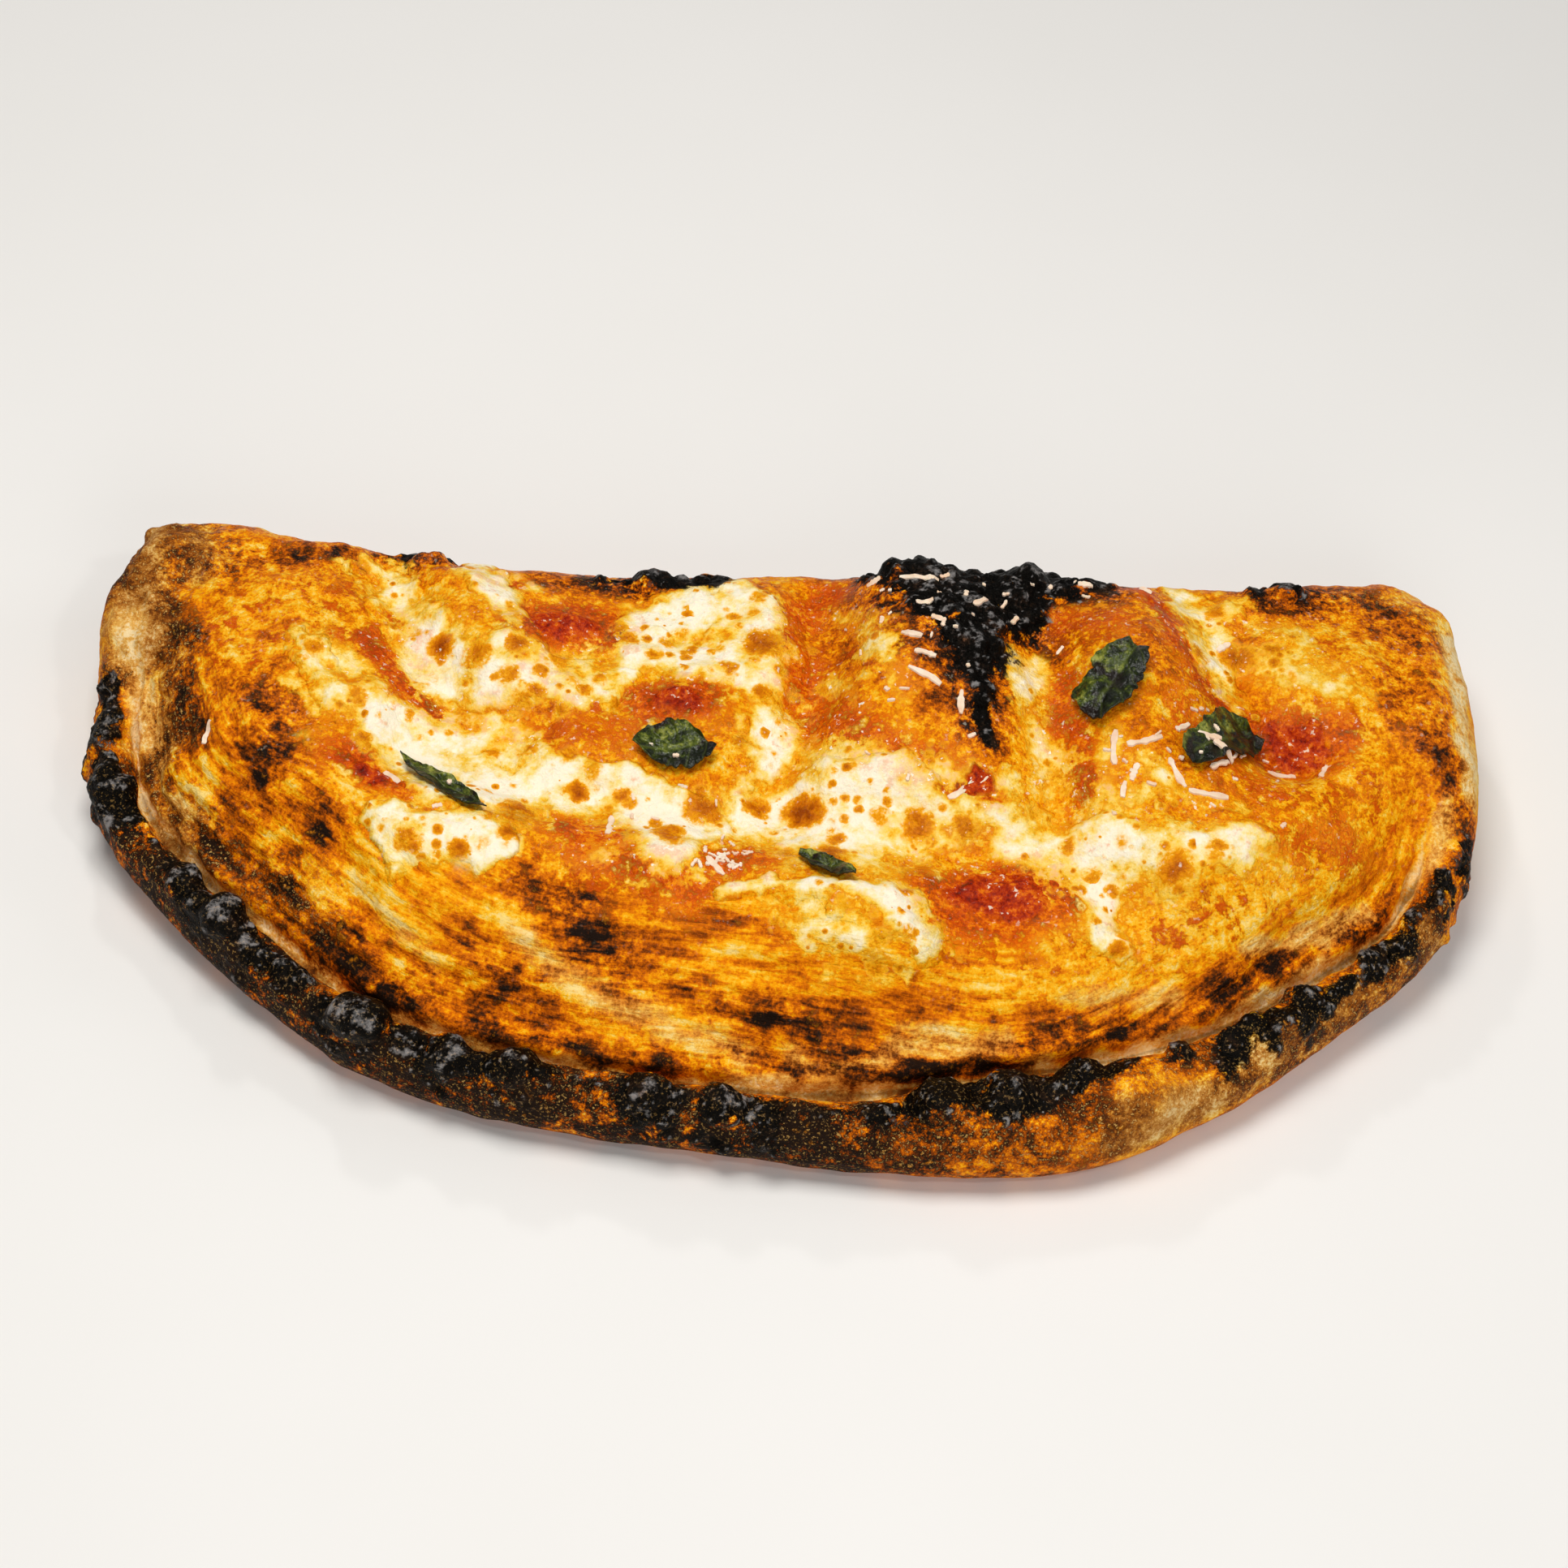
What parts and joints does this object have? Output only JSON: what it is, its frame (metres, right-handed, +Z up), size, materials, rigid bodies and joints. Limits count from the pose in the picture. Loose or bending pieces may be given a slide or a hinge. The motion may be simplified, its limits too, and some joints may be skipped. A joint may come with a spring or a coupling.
{
  "type": "calzone",
  "caption": "Baked half-moon calzone with a straight fold, a pinched charred rim, and cheese, tomato and basil on top.",
  "frame": {"origin": "middle of the bounding box, on the surface that the calzone rests on", "axes": "+X along the straight fold, +Y from the pinched rim to the fold, +Z up"},
  "size_m": [0.3166, 0.1626, 0.0517],
  "materials": {
    "crust": "baked dough, browned and oily, with char",
    "mozzarella": "melted cheese with brown blisters",
    "tomato": "wet cooked tomato",
    "basil": "wilted oily leaf"
  },
  "bodies": {
    "root": {"dough": "crust", "mozzarella_left": "mozzarella", "mozzarella_middle": "mozzarella", "mozzarella_dome": "mozzarella", "mozzarella_back": "mozzarella", "mozzarella_corner": "mozzarella", "mozzarella_fold": "mozzarella", "mozzarella_front": "mozzarella", "tomato_back": "tomato", "tomato_bright": "tomato", "tomato_front": "tomato", "tomato_right": "tomato", "tomato_left": "tomato", "tomato_centre": "tomato", "basil_left": "basil", "basil_middle": "basil", "basil_dome": "basil", "basil_right": "basil", "basil_front": "basil"}
  },
  "joints": []
}
